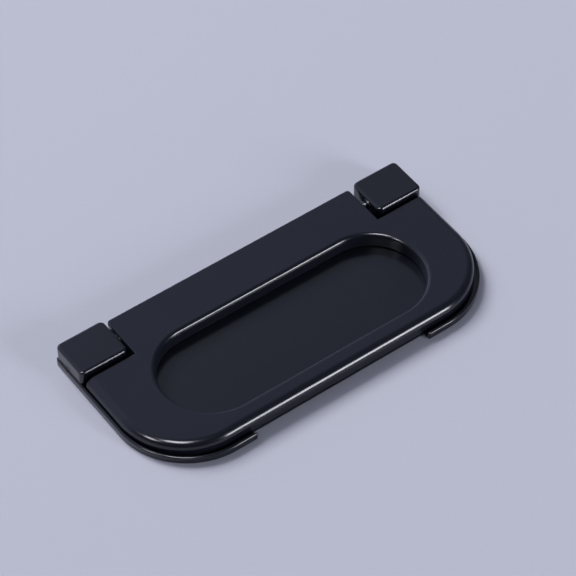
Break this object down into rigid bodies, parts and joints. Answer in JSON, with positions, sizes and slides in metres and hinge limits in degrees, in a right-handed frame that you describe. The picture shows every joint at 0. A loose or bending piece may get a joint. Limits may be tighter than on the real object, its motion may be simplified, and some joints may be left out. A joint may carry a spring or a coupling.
{
  "type": "folding ring pull",
  "caption": "Folding ring pull: a D-shaped ring with a long finger opening lies flat in a thin rimmed back plate and swings up between two corner posts.",
  "frame": {"origin": "middle of the back plate's underside, on the surface the pull is screwed to", "axes": "+X along the pull, parallel to the hinge axis; +Y towards the hinge posts; +Z away from the mounting surface"},
  "size_m": [0.1108, 0.0514, 0.007],
  "materials": {
    "black_paint": "satin black paint on a zinc casting",
    "steel": "plain bright steel"
  },
  "bodies": {
    "plate": {"back_plate": "black_paint", "hinge_pin_left": "steel", "hinge_pin_right": "steel"},
    "ring": {"pull_ring": "black_paint", "thrust_washer_left": "steel", "thrust_washer_right": "steel"}
  },
  "joints": [
    {"name": "ring_hinge", "type": "hinge", "parent": "plate", "child": "ring", "pos_m": [0, 0.0198, 0.0031], "axis": [-1, 0, 0], "range_deg": [0, 50]}
  ]
}
